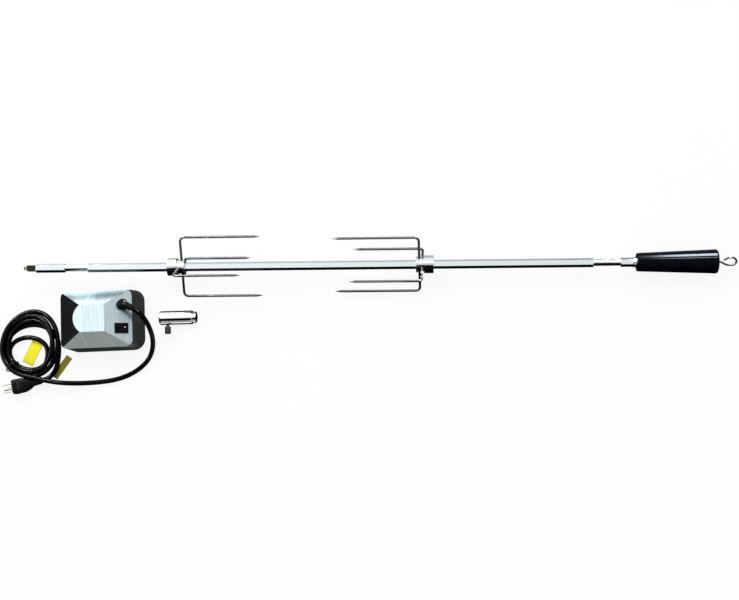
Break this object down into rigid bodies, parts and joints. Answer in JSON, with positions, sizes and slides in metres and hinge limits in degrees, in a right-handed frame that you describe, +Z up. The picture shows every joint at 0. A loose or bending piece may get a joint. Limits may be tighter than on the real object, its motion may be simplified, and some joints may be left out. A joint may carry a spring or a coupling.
{
  "type": "rotisserie spit roaster",
  "caption": "Rotisserie kit laid out flat: a hexagonal spit with two sliding meat forks and a handle, a geared motor unit with coiled mains lead, and a sleeve bushing.",
  "frame": {"origin": "bottom centre of the kit's box as it lies, without the mains lead", "axes": "+X along the spit towards its handle, +Z up from the surface it lies on"},
  "size_m": [1.2107, 0.2551, 0.0981],
  "materials": {
    "polished_steel": "polished",
    "brushed_steel": "brushed",
    "dull_steel": "satin",
    "black_handle": "glossy",
    "dark_housing": "satin",
    "black_plastic": "satin",
    "black_rubber": "satin",
    "brass": "satin",
    "copper": "satin",
    "yellow_tag": "matte"
  },
  "bodies": {
    "motor_unit": {"housing": "dark_housing", "end_cap": "dark_housing", "back_plate": "dull_steel", "steel_cover": "brushed_steel", "back_plate_screws": "dull_steel", "gland_body": "black_plastic", "gland_nut": "black_plastic", "switch_body": "black_plastic", "switch_terminals": "brass", "gear_plate_lower": "dull_steel", "gear_plate_upper": "dull_steel", "gear_shafts": "dull_steel", "standoffs": "dull_steel", "drive_bush": "brass", "motor_can": "dull_steel", "field_coil": "copper", "cord_lead": "black_rubber", "cord_tail": "black_rubber", "cord_coil": "black_rubber", "plug_body": "black_rubber", "plug_blades": "brass", "coil_tie": "black_plastic", "tag_inner": "yellow_tag", "tag_outer": "yellow_tag"},
    "spit": {"spit_rod": "polished_steel", "handle_ferrule": "dull_steel", "handle_grip": "black_handle", "hanging_eye": "dull_steel"},
    "left_fork": {"left_fork_hub": "dull_steel", "left_fork_plate": "dull_steel", "left_fork_long_prongs": "polished_steel", "left_fork_short_prongs": "polished_steel"},
    "left_clamp": {"left_fork_screw": "dull_steel"},
    "right_fork": {"right_fork_hub": "dull_steel", "right_fork_plate": "dull_steel", "right_fork_long_prongs": "polished_steel", "right_fork_short_prongs": "polished_steel"},
    "right_clamp": {"right_fork_screw": "dull_steel"},
    "bushing": {"bushing_sleeve": "polished_steel"},
    "bushing_clamp": {"bushing_screw": "dull_steel"},
    "rocker": {"switch_rocker": "black_plastic"},
    "drive": {"drive_hub": "dull_steel", "drive_gear": "dull_steel"},
    "gear_two": {"second_gear": "dull_steel"},
    "gear_one": {"first_gear": "dull_steel"},
    "armature": {"rotor": "dull_steel"}
  },
  "joints": [
    {"name": "spit_spin", "type": "hinge", "parent": "motor_unit", "child": "spit", "pos_m": [-0.01645, 0.0444, 0.0434], "axis": [0.9997, 0, -0.0228], "continuous": true},
    {"name": "left_fork_slide", "type": "slide", "parent": "spit", "child": "left_fork", "axis": [0.9997, 0, -0.0228], "range_m": [-0.06, 0.05]},
    {"name": "left_clamp_turn", "type": "hinge", "parent": "left_fork", "child": "left_clamp", "pos_m": [-0.32907, 0.0444, 0.05054], "axis": [-0.0228, 0, -0.9997], "range_deg": [-720, 0]},
    {"name": "right_fork_slide", "type": "slide", "parent": "spit", "child": "right_fork", "axis": [0.9997, 0, -0.0228], "range_m": [-0.05, 0.25]},
    {"name": "right_clamp_turn", "type": "hinge", "parent": "right_fork", "child": "right_clamp", "pos_m": [0.08913, 0.0444, 0.04099], "axis": [-0.0228, 0, -0.9997], "range_deg": [-720, 0]},
    {"name": "bushing_slide", "type": "slide", "parent": "motor_unit", "child": "bushing", "axis": [0.9998, 0.0209, 0], "range_m": [0, 0.12]},
    {"name": "bushing_clamp_turn", "type": "hinge", "parent": "bushing", "child": "bushing_clamp", "pos_m": [-0.3472, -0.03633, 0.0115], "axis": [0.0209, -0.9998, 0], "range_deg": [-720, 0]},
    {"name": "rocker_tilt", "type": "hinge", "parent": "motor_unit", "child": "rocker", "pos_m": [-0.41173, -0.05609, 0.06258], "axis": [-0.0349, 0.9994, 0], "range_deg": [0, 12]},
    {"name": "drive_spin", "type": "hinge", "parent": "motor_unit", "child": "drive", "pos_m": [-0.46929, -0.04059, 0], "axis": [0, 0, 1], "continuous": true},
    {"name": "second_gear_spin", "type": "hinge", "parent": "motor_unit", "child": "gear_two", "pos_m": [-0.43477, -0.03003, 0], "axis": [0, 0, 1], "continuous": true},
    {"name": "first_gear_spin", "type": "hinge", "parent": "motor_unit", "child": "gear_one", "pos_m": [-0.43393, -0.05412, 0], "axis": [0, 0, 1], "continuous": true},
    {"name": "armature_spin", "type": "hinge", "parent": "motor_unit", "child": "armature", "pos_m": [-0.45163, -0.05788, 0], "axis": [0, 0, 1], "continuous": true}
  ],
  "couplings": [
    {"joint": "first_gear_spin", "follows": "armature_spin", "ratio": -0.2},
    {"joint": "second_gear_spin", "follows": "armature_spin", "ratio": 0.05},
    {"joint": "drive_spin", "follows": "armature_spin", "ratio": -0.01}
  ]
}
